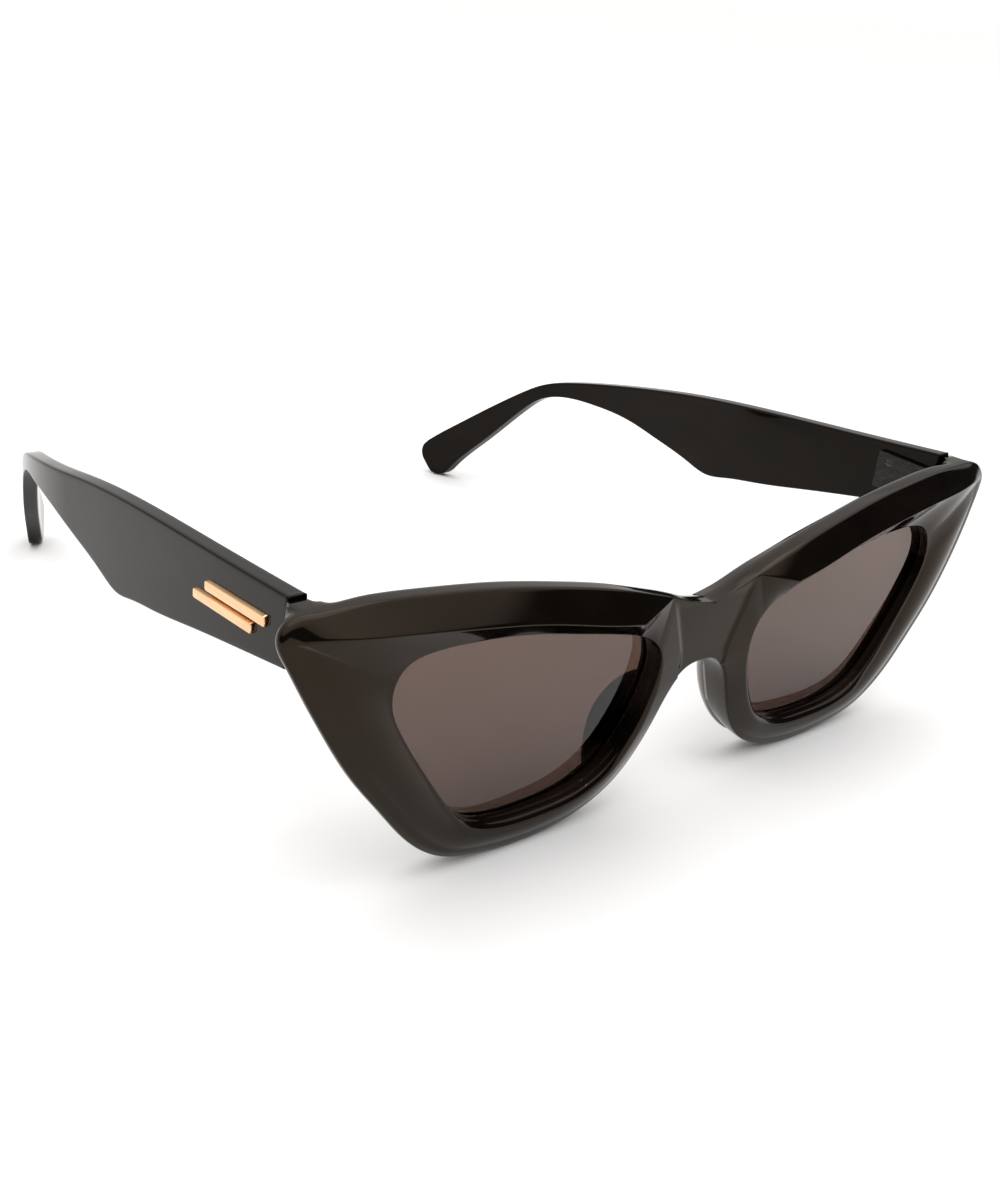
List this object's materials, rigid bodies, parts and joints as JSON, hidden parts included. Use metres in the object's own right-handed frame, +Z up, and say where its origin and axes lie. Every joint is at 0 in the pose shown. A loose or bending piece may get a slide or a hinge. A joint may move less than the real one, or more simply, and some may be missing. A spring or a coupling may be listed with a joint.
{
  "type": "cat eye sunglasses",
  "caption": "Wide cat-eye sunglasses: thick glossy black front with swept corners, dark tinted lenses, broad folding temples with ear hooks and gold trim bars.",
  "frame": {"origin": "on the table, midway across the width and midway along the depth of the unfolded sunglasses", "axes": "+Z up; the front with the lenses faces -Y and the temples run back towards +Y; +X is the wearer's left"},
  "size_m": [0.1414, 0.1404, 0.0439],
  "materials": {
    "front_acetate": "polished black acetate",
    "tinted_lens": "dark brown-grey tint, clear polish",
    "pad_acetate": "polished black acetate",
    "temple_acetate": "polished black acetate",
    "hinge_metal": "fine brushed nickel silver",
    "screw_metal": "bright turned steel",
    "gold_trim": "polished pale gold plate"
  },
  "bodies": {
    "front": {"front_frame": "front_acetate", "lens_left": "tinted_lens", "lens_right": "tinted_lens", "nose_pad_left": "pad_acetate", "nose_pad_right": "pad_acetate", "front_hinge_left": "hinge_metal", "front_hinge_right": "hinge_metal", "front_leaf_screws_left": "screw_metal", "front_leaf_screws_right": "screw_metal", "hinge_screw_left": "screw_metal", "hinge_screw_right": "screw_metal"},
    "temple_left_arm": {"temple_left": "temple_acetate", "temple_hinge_left": "hinge_metal", "temple_leaf_screws_left": "screw_metal", "upper_trim_bar_left": "gold_trim", "lower_trim_bar_left": "gold_trim"},
    "temple_right_arm": {"temple_right": "temple_acetate", "temple_hinge_right": "hinge_metal", "temple_leaf_screws_right": "screw_metal", "upper_trim_bar_right": "gold_trim", "lower_trim_bar_right": "gold_trim"}
  },
  "joints": [
    {"name": "left_temple_fold", "type": "hinge", "parent": "front", "child": "temple_left_arm", "pos_m": [0.0624, -0.05859, 0.03875], "axis": [0, -0.0198, 0.9998], "range_deg": [0, 84]},
    {"name": "right_temple_fold", "type": "hinge", "parent": "front", "child": "temple_right_arm", "pos_m": [-0.0624, -0.05859, 0.03875], "axis": [0, 0.0198, -0.9998], "range_deg": [0, 70]}
  ]
}
